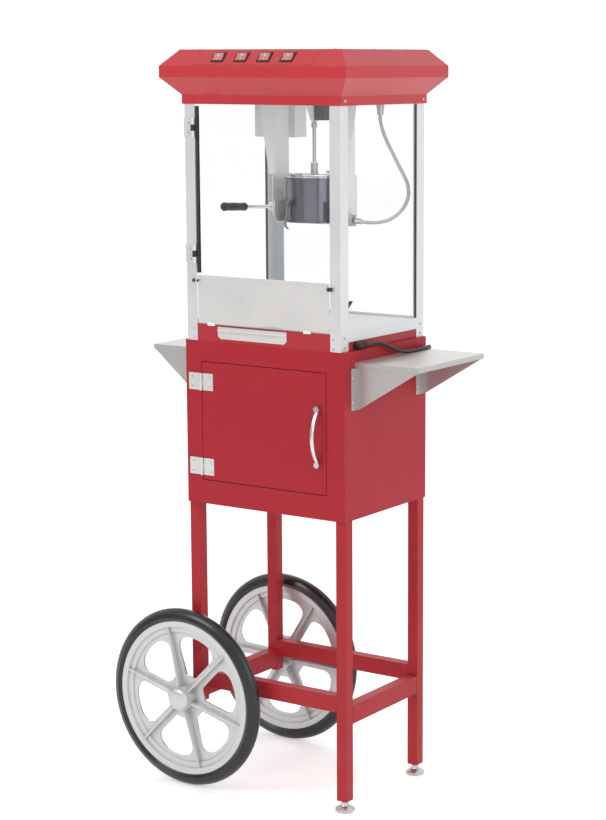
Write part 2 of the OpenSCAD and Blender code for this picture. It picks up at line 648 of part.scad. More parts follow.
// rocker: a shallow V on its pivot, resting with its lower half pressed in
module switch_rocker(i) on_slope(switch_xs[i]) translate([0, 0, rocker_axis]) rotate([8, 0, 0]) {
  translate([-rocker.x / 2, 0, 0]) rotate([90, 0, 90]) linear_extrude(rocker.x)
    polygon([[-rocker.y / 2, 6.6], [0, 5], [rocker.y / 2, 6.6], [rocker.y / 2 - 1.2, -1], [2, -5],
      [-2, -5], [-rocker.y / 2 + 1.2, -1]]);
  rod_x(1, -rocker.x / 2 - 1.2, rocker.x / 2 + 1.2, 0, 0);
}
module switch_light() color("salmon") cart() switch_rocker(0);
module switch_motor() color("salmon") cart() switch_rocker(1);
module switch_kettle() color("salmon") cart() switch_rocker(2);
module switch_warmer() color("salmon") cart() switch_rocker(3);

// ---- kettle ----
module kettle_hangers() color(alu) cart() both_x() {
  y0 = kettle_y - 26;
  difference() {
    union() {
      // long web, and the wider lower bracket bolted to its inner face
      block([hanger_x, y0, 1290], [hanger_x + 2, y0 + 52, ceiling_z]);
      block([hanger_x - 2, y0 - 11, tilt_z - 16], [hanger_x, y0 + 63, 1345]);
      // tapered front flange and the foot under the ceiling
      translate([0, y0 + 2, 0]) rotate([90, 0, 0]) linear_extrude(2)
        polygon([[hanger_x, 1345], [hanger_x + 17, 1345], [hanger_x + 40, ceiling_z],
          [hanger_x, ceiling_z]]);
      block([hanger_x, y0, ceiling_z - 2], [hanger_x + 22, y0 + 52, ceiling_z]);
    }
    rod_x(5 + run, hanger_x - 10, hanger_x + 10, kettle_y, tilt_z);
  }
}

module kettle_pot() color(dark_steel) cart() translate([0, kettle_y, 0]) {
  r = kettle_r + rim_flare;
  rotate_extrude($fn = 96) polygon([[0, kettle_low], [r, kettle_low], [r, kettle_low + 3.5],
    [kettle_r, kettle_low + 3.5], [kettle_r, kettle_top - 3.5], [r, kettle_top - 3.5], [r, kettle_top],
    [kettle_r - 1.5, kettle_top], [kettle_r - 1.5, kettle_low + 6], [0, kettle_low + 6]]);
  // hook at the pot's front
  rotate(-hook_angle) translate([kettle_r, 0, 0]) rotate([90, 0, 0]) translate([0, 0, -4])
    linear_extrude(8) polygon([[-1, 1290], [4, 1292], [8, 1286], [8, 1262], [14, 1250], [12, 1236],
      [6, 1230], [4, 1231.5], [9.5, 1237.5], [11, 1249], [5.5, 1260], [5.5, 1284], [3, 1287], [-1, 1286]]);
}

// bar across the pot's mouth that guides the agitator and carries the lids
module kettle_bridge() color(steel) cart() difference() {
  union() {
    intersection() {
      block([-70, kettle_y - 13, kettle_top], [70, kettle_y + 13, kettle_top + 2.5]);
      rod_z(kettle_r + rim_flare, 0, kettle_y, kettle_top - 1, kettle_top + 5);
    }
    for (s = [-1, 1]) {
      rod_x(1.2, -50, 50, kettle_y + s * 17, lid_axis_z);
      for (x = [-49, 47]) block([x, min(kettle_y + s * 12, kettle_y + s * 19.5), kettle_top + 0.6],
        [x + 2, max(kettle_y + s * 12, kettle_y + s * 19.5), lid_axis_z + 2.4]);
    }
  }
  rod_z(8 + run, 0, kettle_y, kettle_top - 5, kettle_top + 10);
}

// half-moon lid with a hinge tube and a wire pull
module kettle_lid(s) translate([0, kettle_y, 0]) mirror([0, s > 0 ? 1 : 0, 0]) difference() {
  union() {
    intersection() {
      translate([0, 0, kettle_top + 0.6]) cylinder(r = kettle_r + 3, h = 1.2);
      block([-80, -90, kettle_top], [80, -15.2, kettle_top + 5]);
    }
    rod_x(2.4, -46, 46, -17, lid_axis_z);
    block([-46, -18.6, kettle_top + 0.6], [46, -15.4, lid_axis_z]);
    // pull: a folded tab standing on the lid
    block([-9, -58, kettle_top + 0.6], [9, -56.8, kettle_top + 11]);
    block([-9, -64, kettle_top + 9.8], [9, -56.8, kettle_top + 11]);
  }
  rod_x(1.2 + run, -50, 50, -17, lid_axis_z);
  // room for the bridge's ears
  both_x() block([46.4, -21, kettle_top], [49.6, -10, kettle_top + 5]);
}
module kettle_lid_front() color(silver) cart() kettle_lid(-1);
module kettle_lid_rear() color(silver) cart() kettle_lid(1);

// bent steel cradle under the pot, with the two pivot pins and the front hook
module kettle_cradle() color(steel) cart() {
  w = 48;
  t = 2;
  difference() {
    block([-74, kettle_y - w, kettle_low - t], [74, kettle_y + w, tilt_z + 18]);
    block([-74 + t, kettle_y - w - 1, kettle_low], [74 - t, kettle_y + w + 1, tilt_z + 19]);
    for (s = [-1, 1]) translate([0, kettle_y + s * w, kettle_low - t - 0.01])
      block([-80, -7, -1], [80, 7, 6]);
  }
  rod_x(5, lever_x - 7, -72.5, kettle_y, tilt_z);
  rod_x(5, 72.5, 92, kettle_y, tilt_z);
  rod_x(8, -83.4, -74, kettle_y, tilt_z);
  rod_x(8, 74, 83.4, kettle_y, tilt_z);
}

module lever_frame() translate([lever_x, kettle_y, tilt_z]) rotate([90 - lever_rise, 0, 0]) children();
module kettle_lever() color(silver) cart() difference() {
  union() {
    lever_frame() cylinder(r = 4, h = lever_len);
    rod_x(9, lever_x - 6, lever_x + 6, kettle_y, tilt_z);
  }
  rod_x(5, lever_x - 10, lever_x + 10, kettle_y, tilt_z);
}
module kettle_grip() color(black) cart() lever_frame() difference() {
  rotate_extrude() polygon([[0, 101], [7.5, 101], [9, 104], [8.2, 118], [8.8, 140], [8.6, 167],
    [9.4, 176], [7, 180], [0, 180]]);
  cylinder(r = 4, h = lever_len);
}

// ---- drive ----
module drive_shaft() color(silver) cart() {
  rod_z(4, 0, kettle_y, sleeve_top + 1, 1480);
  rod_z(6.5, 0, kettle_y, 1446, 1456.4);
}
module agitator() color(silver) cart() {
  rod_z(8, 0, kettle_y, kettle_top - 10, sleeve_top);
  rod_z(4, 0, kettle_y, kettle_low + 7, kettle_top);
  for (a = [0, 90]) translate([0, kettle_y, 0]) rotate(a)
    block([-52, -2, kettle_low + 8], [52, 2, kettle_low + 12]);
}
module kettle_conduit() color(alu) cart() sweep(conduit_route, conduit_d, 10);
module conduit_fittings() color(silver) cart() {
  rod_z(7, 117, 115, 1473, 1486);
  translate([117, 115, 1486]) cylinder(r = 9.5, h = ceiling_z - 1486, $fn = 6);
  // clamp on the hanger's outer face
  end = conduit_route[len(conduit_route) - 1];
  dir = unit(end - conduit_route[len(conduit_route) - 2]);
  block([hanger_x, kettle_y - 6, 1238], [hanger_x + 14, kettle_y + 12, tilt_z - 10]);
  translate(end) rotate([0, acos(dir.z), atan2(dir.y, dir.x)]) cylinder(r = 6.5, h = 16);
}
module lamp_shroud() color(steel) cart() difference() {
  block([lamp_x[0], 72, 1422], [lamp_x[1], 116, ceiling_z]);
  block([lamp_x[0] + sheet, 72 + sheet, 1421], [lamp_x[1] - sheet, 116 - sheet, ceiling_z - sheet]);
}
module lamp_bulb() color(white) cart() translate([(lamp_x[0] + lamp_x[1]) / 2, 94, 0]) {
  translate([0, 0, 1468]) cylinder(r = 13, h = ceiling_z - sheet - 1468);
  rotate_extrude() polygon([[0, 1428], [7, 1430], [12.5, 1436], [14.5, 1444], [13.5, 1453], [11, 1461],
    [10, 1468], [0, 1468]]);
}

// ---- fasteners ----
module screw_y(x, z, y, r = 3.2) rod_y(r, x, y - 1.6, y, z);
module screw_x(y, z, x, r = 3.2) rod_x(r, x, x + 1.6, y, z);
module screws() color(silver) cart() {
  both_x() {
    for (z = [1000, 1020]) screw_y(post_half_x - 18, z, -post_half_y);
    for (z = [1003, 1023], s = [-1, 1]) screw_x(s * (post_half_y - 14), z, post_half_x);
  }
  for (z = hinge_zs, dz = [8, 29]) screw_y(-188, z + dz, -cab_half_y - sheet, 2.6);
  for (z = glass_hinge_zs, dz = [9, 31]) {
    screw_y(-187, z + dz, -post_half_y - sheet, 2.8);
    mirror([1, 0, 0]) screw_x(-148, z + dz, post_half_x + sheet, 2.8);
  }
  // shelf bolts through the bracket flanges
  both_x() for (z = [888, 938]) {
    screw_x(shelf_y[0] - 7, z, cab_half_x + 1.2, 3.5);
    screw_x(shelf_y[1] - 13, z, cab_half_x + 1.2, 3.5);
  }
  // topper screws into the posts
  both_x() for (s = [-1, 1]) screw_x(s * 150, 1507, topper_low.x);
  // small screws round the edge of the topper's flat top
  for (x = [-156, 11, 186]) rod_z(3, x, 5 - topper_top.y, top_z, top_z + 1.6);
  for (y = [-38, 86]) rod_z(3, topper_top.x - 5, y, top_z, top_z + 1.6);
  for (s = [-1, 1], z = [1303, 1312]) mirror([s > 0 ? 0 : 1, 0, 0])
    rod_x(3, hanger_x - 4, hanger_x - 2, kettle_y + (z > 1305 ? -18 : -4), z);
}

// ---- power cord ----
// right-angle strain relief: round flange, elbow body and a ribbed tail pointing backwards
module cord_gland() color(black) cart() {
  rod_x(6.4, base_half_x - 4, base_half_x, gland.y, gland.z);
  rod_x(8.5, base_half_x, base_half_x + 3, gland.y, gland.z);
  rod_x(7, base_half_x, gland.x, gland.y, gland.z);
  translate(gland) sphere(r = 7);
  translate(gland) rotate([-90, 0, 0]) {
    cylinder(r1 = 6.8, r2 = cord_d / 2 + 1, h = 27);
    for (i = [0:3]) translate([0, 0, 8 + 4.5 * i]) cylinder(r = 7 - 0.4 * i, h = 2);
  }
}
module power_cord() color(black) cart() sweep(smooth(cord_route, 2), cord_d, 8);
module power_cord_coil() color(black) cart() translate(coil_c)
  rotate_extrude($fn = 64) translate([coil_mid_r - cord_d, 0]) square([2 * cord_d, 2 * cord_d]);
module power_plug() color(black) cart() translate(plug_at) {
  hull() {
    cube([28, 12, 18]);
    translate([3, -30, 0]) cube([22, 4, 20]);
  }
  rod_y(cord_d / 2 + 0.8, 14, 10, 31.4, 5);
}

frame_legs();
frame_bars();
levelling_foot_front();
levelling_foot_rear();
axle();
axle_hardware();
wheel_rim_front();
wheel_tyre_front();
wheel_cap_front();
wheel_rim_rear();
wheel_tyre_rear();
wheel_cap_rear();
cabinet_shell();
cabinet_door();
cabinet_door_hinge_leaves();
door_handle();
magnet_catches();
shelf_right();
shelf_left();
shelf_brackets();
screws();
machine_base();
crumb_drawer();
case_floor();
deck_heater();
case_frame();
fixed_panes();
pane_gaskets();
glass_door();
glass_door_edge();
glass_door_hinge_leaves();
fixed_hinge_leaves();
front_flap();
flap_knobs();
topper_shell();
ceiling_plate();
gear_motor();
kettle_hangers();
kettle_pot();
kettle_bridge();
kettle_cradle();
kettle_lid_front();
kettle_lid_rear();
kettle_lever();
kettle_grip();
drive_shaft();
agitator();
kettle_conduit();
conduit_fittings();
lamp_shroud();
lamp_bulb();
switch_bezels();
switch_light();
switch_motor();
switch_kettle();
switch_warmer();
cord_gland();
power_cord();
power_cord_coil();
power_plug();
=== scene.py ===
import math
import bpy
import bmesh
from mathutils import Matrix, Vector


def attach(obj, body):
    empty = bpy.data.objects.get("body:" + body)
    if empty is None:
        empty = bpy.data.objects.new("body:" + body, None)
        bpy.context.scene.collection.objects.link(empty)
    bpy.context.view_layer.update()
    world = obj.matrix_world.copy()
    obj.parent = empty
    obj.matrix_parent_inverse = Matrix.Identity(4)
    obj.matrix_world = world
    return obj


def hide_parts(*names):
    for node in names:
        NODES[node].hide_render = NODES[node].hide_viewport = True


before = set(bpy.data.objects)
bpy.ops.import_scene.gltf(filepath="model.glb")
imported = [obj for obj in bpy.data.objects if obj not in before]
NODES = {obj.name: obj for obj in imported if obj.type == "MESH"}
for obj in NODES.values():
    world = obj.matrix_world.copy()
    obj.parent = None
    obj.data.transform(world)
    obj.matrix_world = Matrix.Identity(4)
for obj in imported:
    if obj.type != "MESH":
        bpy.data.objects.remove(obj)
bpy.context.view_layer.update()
MM = 0.001
CX = 17.0                      # the cart's middle stands 17 mm to the +X side of the origin
VIEW_TURN = 32.92              # degrees the camera is turned to the left of straight back

# ---------------------------------------------------------------- camera, fitted to the cart's edges
VIEW_DOWN = 9.59               # degrees the camera looks down
cam = bpy.data.objects.new("camera", bpy.data.cameras.new("camera"))
bpy.context.scene.collection.objects.link(cam)
cam.location = ((2561.5 + CX) * MM, -3653.5 * MM, 1585.9 * MM)
cam.rotation_euler = (math.radians(90 - VIEW_DOWN), 0, math.radians(VIEW_TURN))
cam.data.lens = 90.79
cam.data.sensor_width = 36
cam.data.shift_x = -0.096585
cam.data.shift_y = 0.001098
bpy.context.scene.camera = cam


# ---------------------------------------------------------------- mesh helpers
BOX_FACES = [(0, 1, 3, 2), (4, 6, 7, 5), (0, 4, 5, 1), (2, 3, 7, 6), (0, 2, 6, 4), (1, 5, 7, 3)]


def p(x, y, z):
    """A point of the cart, in mm from its middle, as a vector of the shared frame in metres."""
    return Vector(((x + CX) * MM, y * MM, z * MM))


def mesh_object(name, verts, faces, smooth=35):
    """A mesh with outward faces, smooth up to an angle; a place in metres for every vertex."""
    me = bpy.data.meshes.new(name)
    me.from_pydata([tuple(v) for v in verts], [], faces)
    me.update()
    bm = bmesh.new()
    bm.from_mesh(me)
    bmesh.ops.recalc_face_normals(bm, faces=bm.faces)
    bm.to_mesh(me)
    bm.free()
    ob = bpy.data.objects.new(name, me)
    bpy.context.scene.collection.objects.link(ob)
    smooth_by_angle(me, smooth)
    return ob


def smooth_by_angle(me, angle):
    """Smooth faces, with every edge sharper than the angle marked sharp."""
    bm = bmesh.new()
    bm.from_mesh(me)
    for f in bm.faces:
        f.smooth = True
    for e in bm.edges:
        e.smooth = len(e.link_faces) == 2 and e.calc_face_angle(0) < math.radians(angle)
    bm.to_mesh(me)
    bm.free()


def frame_along(points):
    """Tangent and two steady cross directions at each point of a route."""
    n = len(points)
    out = []
    u = None
    for i in range(n):
        t = (points[min(i + 1, n - 1)] - points[max(i - 1, 0)]).normalized()
        if u is None:
            a = Vector((0, 0, 1)) if abs(t.z) < 0.8 else Vector((0, 1, 0))
            u = t.cross(a).normalized()
        u = (u - t * u.dot(t)).normalized()
        out.append((t, u, t.cross(u)))
    return out


def tube(name, points, radius, sides=12):
    """A tube along points; radius is a number or a function of (index, metres along)."""
    frames = frame_along(points)
    verts, faces, run = [], [], 0.0
    for i, (c, (t, u, v)) in enumerate(zip(points, frames)):
        if i:
            run += (c - points[i - 1]).length
        r = radius(i, run) if callable(radius) else radius
        for j in range(sides):
            a = 2 * math.pi * j / sides
            verts.append(c + r * (u * math.cos(a) + v * math.sin(a)))
    for i in range(len(points) - 1):
        for j in range(sides):
            k = (j + 1) % sides
            faces.append((sides * i + j, sides * i + k, sides * (i + 1) + k, sides * (i + 1) + j))
    faces.append(tuple(range(sides))[::-1])
    faces.append(tuple(sides * (len(points) - 1) + j for j in range(sides)))
    return mesh_object(name, verts, faces, 50)


def spline(route, step):
    """Points about step apart on a smooth curve through the route."""
    pts = []
    n = len(route)
    for i in range(n - 1):
        a, b, c, d = route[max(i - 1, 0)], route[i], route[i + 1], route[min(i + 2, n - 1)]
        m = max(1, round((c - b).length / step))
        for j in range(m):
            t = j / m
            pts.append(0.5 * (2 * b + (c - a) * t + (2 * a - 5 * b + 4 * c - d) * t * t
                              + (3 * b - a - 3 * c + d) * t ** 3))
    return pts + [route[-1]]


def lathe(name, profile, segs, place, smooth=35):
    """A closed ring or a solid turned about local Z; profile is (r, z) in mm, closed if it avoids r = 0."""
    verts, faces = [], []
    closed = all(r > 0 for r, z in profile)
    for i in range(segs):
        a = 2 * math.pi * i / segs
        for r, z in profile:
            verts.append(Vector((r * math.cos(a), r * math.sin(a), z)) * MM)
    n = len(profile)
    for i in range(segs):
        j = (i + 1) % segs
        for k in range(n if closed else n - 1):
            m = (k + 1) % n
            faces.append((i * n + k, j * n + k, j * n + m, i * n + m))
    ob = mesh_object(name, [place @ v for v in verts], faces, smooth)
    bm = bmesh.new()
    bm.from_mesh(ob.data)
    bmesh.ops.remove_doubles(bm, verts=bm.verts, dist=1e-6)
    bmesh.ops.recalc_face_normals(bm, faces=bm.faces)
    bm.to_mesh(ob.data)
    bm.free()
    return ob


def join(name, parts):
    """One object out of several."""
    verts, faces = [], []
    for ob in parts:
        base = len(verts)
        verts += [v.co.copy() for v in ob.data.vertices]
        faces += [tuple(base + i for i in f.vertices) for f in ob.data.polygons]
        me = ob.data
        bpy.data.objects.remove(ob)
        bpy.data.meshes.remove(me)
    return mesh_object(name, verts, faces, 40)


# ---------------------------------------------------------------- material helpers
class Nodes:
    """A material and short ways to add its nodes."""

    def __init__(self, name):
        self.mat = bpy.data.materials.new(name)
        self.mat.use_nodes = True
        self.tree = self.mat.node_tree
        self.tree.nodes.clear()
        self.out = self.tree.nodes.new("ShaderNodeOutputMaterial")
        self.coords = self.add("TexCoord").outputs["Object"]

    def add(self, kind, inputs=None, **props):
        n = self.tree.nodes.new("ShaderNode" + kind)
        for k, v in props.items():
            setattr(n, k, v)
        for k, v in (inputs or {}).items():
            if isinstance(v, bpy.types.NodeSocket):
                self.tree.links.new(v, n.inputs[k])
            else:
                n.inputs[k].default_value = v
        return n

    def math(self, op, a, b=0.5, clamp=False):
        return self.add("Math", {0: a, 1: b}, operation=op, use_clamp=clamp).outputs[0]

    def noise(self, scale, detail=3.0, stretch=(1, 1, 1), rough=0.55, shift=(0, 0, 0)):
        m = self.add("Mapping", {"Vector": self.coords, "Scale": stretch, "Location": shift})
        n = self.add("TexNoise", {"Vector": m.outputs[0], "Scale": scale, "Detail": detail,
                                  "Roughness": rough})
        return n.outputs["Fac"]

    def ramp(self, value, lo, hi, out_lo=0.0, out_hi=1.0):
        return self.add("MapRange", {"Value": value, "From Min": lo, "From Max": hi,
                                     "To Min": out_lo, "To Max": out_hi}, clamp=True).outputs[0]

    def mix(self, fac, a, b):
        n = self.add("Mix", data_type="RGBA", blend_type="MIX")
        for key, v in ((0, fac), (6, a), (7, b)):
            if isinstance(v, bpy.types.NodeSocket):
                self.tree.links.new(v, n.inputs[key])
            else:
                n.inputs[key].default_value = (*v, 1) if key and len(v) == 3 else v
        return n.outputs[2]

    def edge(self, radius):
        """Rounded normal, and a mask that is 1 on the sharp edges."""
        b = self.add("Bevel", {"Radius": radius}, samples=4).outputs[0]
        g = self.add("NewGeometry").outputs["Normal"]
        d = self.add("VectorMath", {0: b, 1: g}, operation="DOT_PRODUCT").outputs["Value"]
        return b, self.ramp(d, 0.995, 0.90)

    def finish(self, shader):
        self.tree.links.new(shader, self.out.inputs["Surface"])
        return self.mat


def shade(c, k):
    """A colour made k times as bright."""
    return tuple(min(1.0, v * k) for v in c)


def surface(name, colour, rough, metallic=0.0, vary=0.12, grain=(700, 0.00004), streak=None,
            edge=0.0006, wear=None, wear_amount=0.6, dust=0.0, rough_vary=0.10, coat=0.0,
            crevice_shade=0.25, blotch=5.0, specular=0.5):
    """Principled surface with colour drift, fine grain, brushed streaks, worn edges, dust, and painted shade
    darkening the colour in crevices.
    """
    m = Nodes(name)
    base = m.mix(m.ramp(m.noise(blotch, 4), 0.3, 0.7), shade(colour, 1 - vary), shade(colour, 1 + vary))
    spread = m.ramp(m.noise(blotch * 9, 3, shift=(3, 1, 7)), 0.35, 0.7, 0, 0.35)
    base = m.mix(spread, base, shade(colour, 1 + vary))
    r = m.ramp(m.noise(blotch * 2.3, 5, shift=(9, 4, 2)), 0.3, 0.7,
               rough - rough_vary / 2, rough + rough_vary / 2)
    normal, mask = m.edge(edge)
    scale, depth = grain
    height = m.noise(scale, 2)
    if streak:
        lines = m.noise(1.0, 3, stretch=streak, rough=0.7)
        base = m.mix(m.ramp(lines, 0.35, 0.65, 0.0, 0.22), base, shade(colour, 1.1))
        r = m.math("ADD", r, m.ramp(lines, 0.3, 0.7, -0.03, 0.03))
        height = lines
    if wear:
        spots = m.ramp(m.noise(90, 4, shift=(5, 5, 5)), 0.44, 0.60)
        worn = m.math("MULTIPLY", m.math("MULTIPLY", mask, spots), wear_amount)
        base = m.mix(worn, base, wear)
        r = m.math("ADD", r, m.math("MULTIPLY", worn, 0.15))
    # painted shade: ambient occlusion darkens the colour in crevices, corners and between parts, in random
    # patches, and roughens it there
    if crevice_shade:
        ao = m.add("AmbientOcclusion", {"Distance": 0.02}, samples=3, only_local=False).outputs["AO"]
        patches = m.ramp(m.noise(60, 4, shift=(1, 8, 3)), 0.3, 0.6, 0.4, 1.0)
        painted_shade = m.math("MULTIPLY", m.ramp(ao, 0.75, 0.25), patches)
        base = m.mix(m.math("MULTIPLY", painted_shade, crevice_shade), base, shade(colour, 0.35))
        r = m.math("ADD", r, m.math("MULTIPLY", painted_shade, 0.12))
    if dust:
        z = m.add("SeparateXYZ", {0: m.coords}).outputs[2]
        low = m.ramp(z, 0.55, 0.0)
        up = m.add("SeparateXYZ", {0: m.add("NewGeometry").outputs["Normal"]}).outputs[2]
        film = m.math("MAXIMUM", m.math("MULTIPLY", low, 0.5), m.ramp(up, 0.5, 1.0))
        film = m.math("MULTIPLY", film, m.ramp(m.noise(14, 5, shift=(2, 2, 9)), 0.35, 0.7, 0.2, 1.0))
        film = m.math("MULTIPLY", film, dust)
        base = m.mix(film, base, (0.62, 0.58, 0.53))
        r = m.math("ADD", r, m.math("MULTIPLY", film, 0.3), True)
    bump = m.add("Bump", {"Height": height, "Distance": depth, "Strength": 1.0, "Normal": normal})
    b = m.add("BsdfPrincipled", {"Base Color": base, "Roughness": r, "Metallic": metallic,
                                 "Normal": bump.outputs[0], "Coat Weight": coat, "Coat Roughness": 0.12,
                                 "Specular IOR Level": specular})
    return m.finish(b.outputs[0])


def glass(name, tint, haze):
    """Clear pane: see-through with a Fresnel reflection, faint smudges and a thin haze."""
    m = Nodes(name)
    clear = m.add("BsdfTransparent", {"Color": (*tint, 1)})
    wipes = m.ramp(m.noise(7, 6, shift=(4, 0, 1)), 0.52, 0.75)
    smudge = m.math("MULTIPLY", wipes, m.ramp(m.noise(120, 3), 0.3, 0.8))
    shine = m.add("BsdfPrincipled", {"Base Color": (0.9, 0.93, 0.93, 1), "Metallic": 0.0,
                                     "Roughness": m.ramp(smudge, 0, 1, 0.015, 0.22),
                                     "Specular IOR Level": 1.0})
    mirror = m.add("BsdfGlossy", {"Color": (0.95, 0.97, 0.97, 1),
                                  "Roughness": m.ramp(smudge, 0, 1, 0.01, 0.25)})
    inside = m.add("NewGeometry").outputs["Backfacing"]
    fresnel = m.add("Fresnel", {"IOR": m.ramp(inside, 0, 1, 1.45, 1 / 1.45)}).outputs[0]
    first = m.add("MixShader", {0: fresnel, 1: clear.outputs[0], 2: mirror.outputs[0]})
    film = m.math("MULTIPLY", m.math("ADD", smudge, 0.25), haze)
    last = m.add("MixShader", {0: film, 1: first.outputs[0], 2: shine.outputs[0]})
    return m.finish(last.outputs[0])


RED = (0.42, 0.020, 0.032)
# every finish: what surface() needs to make it; the strength of the painted shade in crevices is one of
# these
FINISHES = {
    "frame_red": dict(colour=(0.43, 0.022, 0.030), rough=0.42, vary=0.06, grain=(900, 0.00003),
                      wear=(0.16, 0.02, 0.022), dust=0.06, edge=0.0012, specular=0.25),
    "cabinet_red": dict(colour=RED, rough=0.38, vary=0.05, grain=(800, 0.00003), specular=0.25,
                        wear=(0.62, 0.13, 0.14), wear_amount=0.35, edge=0.0014, crevice_shade=0.35),
    "topper_red": dict(colour=(0.56, 0.036, 0.044), rough=0.22, vary=0.05, grain=(600, 0.00002),
                       wear=(0.75, 0.22, 0.22), wear_amount=0.45, coat=0.25, edge=0.0012,
                       rough_vary=0.05, specular=0.35),
    "base_red": dict(colour=(0.45, 0.034, 0.040), rough=0.30, vary=0.05, grain=(700, 0.00003),
                     wear=(0.6, 0.15, 0.15), wear_amount=0.4, coat=0.1, edge=0.0010, specular=0.3),
    "wheel_silver": dict(colour=(0.70, 0.70, 0.71), rough=0.30, metallic=0.45, vary=0.04,
                         grain=(1400, 0.00006), wear=(0.9, 0.9, 0.9), wear_amount=0.3, edge=0.0016,
                         crevice_shade=0.75),
    "stainless": dict(colour=(0.86, 0.84, 0.82), rough=0.34, metallic=0.55, vary=0.04,
                      streak=(6, 6, 900), grain=(1, 0.000003), edge=0.0005),
    "stainless_flat": dict(colour=(0.58, 0.57, 0.555), rough=0.36, metallic=0.6, vary=0.06,
                           streak=(900, 8, 900), grain=(1, 0.00002), crevice_shade=0.35, dust=0.08),
    "hinge_zinc": dict(colour=(0.80, 0.80, 0.79), rough=0.36, metallic=0.5, vary=0.06,
                       grain=(700, 0.00003), edge=0.0005, crevice_shade=0.5),
    "bright_steel": dict(colour=(0.93, 0.925, 0.91), rough=0.30, metallic=0.2, vary=0.05,
                         streak=(6, 6, 900), grain=(1, 0.00002), edge=0.0005, crevice_shade=0.35),
    "zinc": dict(colour=(0.62, 0.62, 0.60), rough=0.32, metallic=0.9, grain=(500, 0.00004), crevice_shade=0.5),
    "nickel": dict(colour=(0.72, 0.71, 0.69), rough=0.24, metallic=0.95, vary=0.06,
                   grain=(900, 0.00002), crevice_shade=0.5, dust=0.10),
    "chrome": dict(colour=(0.80, 0.80, 0.81), rough=0.14, metallic=1.0, vary=0.04,
                   grain=(1200, 0.00001), crevice_shade=0.4),
    "alloy": dict(colour=(0.85, 0.85, 0.87), rough=0.34, metallic=0.6, vary=0.03, streak=(900, 900, 6),
                  grain=(1, 0.000006), edge=0.0008, crevice_shade=0.0),
    "hanger_alloy": dict(colour=(0.95, 0.95, 0.955), rough=0.42, metallic=0.10, vary=0.03,
                         streak=(500, 500, 5), grain=(1, 0.000008)),
    "pot_steel": dict(colour=(0.24, 0.24, 0.28), rough=0.20, metallic=0.9, vary=0.10,
                      streak=(2, 2, 300), grain=(1, 0.00001), edge=0.0008, crevice_shade=0.5,
                      wear=(0.5, 0.5, 0.5), wear_amount=0.5),
    "dark_steel": dict(colour=(0.20, 0.20, 0.21), rough=0.42, metallic=0.8, vary=0.2, crevice_shade=0.5),
    "black_plastic": dict(colour=(0.022, 0.022, 0.025), rough=0.42, vary=0.15, grain=(1200, 0.00008),
                          wear=(0.10, 0.10, 0.10), wear_amount=0.5, crevice_shade=0.2),
    "bezel_plastic": dict(colour=(0.05, 0.018, 0.02), rough=0.35, vary=0.15, grain=(1200, 0.00004),
                          wear=(0.15, 0.06, 0.06), crevice_shade=0.3),
    "white_plastic": dict(colour=(0.90, 0.89, 0.87), rough=0.42, vary=0.04, crevice_shade=0.3),
    "rocker": dict(colour=(0.56, 0.20, 0.19), rough=0.22, vary=0.05, coat=0.4, crevice_shade=0.6),
    "mark": dict(colour=(0.90, 0.86, 0.84), rough=0.4, vary=0.04, crevice_shade=0.0),
    "rubber": dict(colour=(0.030, 0.030, 0.032), rough=0.55, vary=0.2, grain=(1500, 0.00008), crevice_shade=0.2,
                   dust=0.04),
    "cord": dict(colour=(0.035, 0.030, 0.030), rough=0.42, vary=0.2, grain=(1500, 0.00005), crevice_shade=0.2,
                 dust=0.05),
    "lamp_glass": dict(colour=(0.85, 0.83, 0.78), rough=0.3, vary=0.03, crevice_shade=0.2),
}
MATS = {name: surface(name, **look) for name, look in FINISHES.items()}
MATS["glass"] = glass("glass", tint=(0.965, 0.974, 0.974), haze=0.03)


def tyre_material():
    """Black rubber with cross cuts in the tread, a dusty tread and a polished sidewall."""
    m = Nodes("tyre")
    x, y, z = m.add("SeparateXYZ", {0: m.coords}).outputs
    angle = m.math("ARCTAN2", z, x)
    cuts = m.math("SINE", m.math("MULTIPLY", angle, 120.0), 0)
    side = m.math("ABSOLUTE", y, 0)
    tread = m.math("MULTIPLY", m.ramp(side, 0.0045, 0.0060), m.ramp(side, 0.0135, 0.0110))
    cut = m.math("MULTIPLY", m.math("MULTIPLY", m.ramp(cuts, 0.55, 0.9), tread), 0.35)
    base = m.mix(m.ramp(m.noise(12, 5), 0.3, 0.7), (0.007, 0.007, 0.008), (0.016, 0.016, 0.017))
    specks = m.ramp(m.noise(40, 5, shift=(2, 2, 2)), 0.35, 0.75, 0.0, 0.12)
    dust = m.math("MULTIPLY", m.ramp(side, 0.010, 0.004), specks)
    base = m.mix(dust, base, (0.16, 0.145, 0.13))
    rough = m.math("ADD", m.ramp(m.noise(25, 4), 0.3, 0.7, 0.20, 0.34), m.math("MULTIPLY", dust, 0.4))
    h = m.math("SUBTRACT", m.math("MULTIPLY", m.noise(900, 2), 0.05), cut)
    bump = m.add("Bump", {"Height": h, "Distance": 0.0006, "Strength": 1.0})
    b = m.add("BsdfPrincipled", {"Base Color": base, "Roughness": rough, "Normal": bump.outputs[0],
                                 "Coat Weight": 0.3, "Coat Roughness": 0.15})
    return m.finish(b.outputs[0])


MATS["tyre"] = tyre_material()

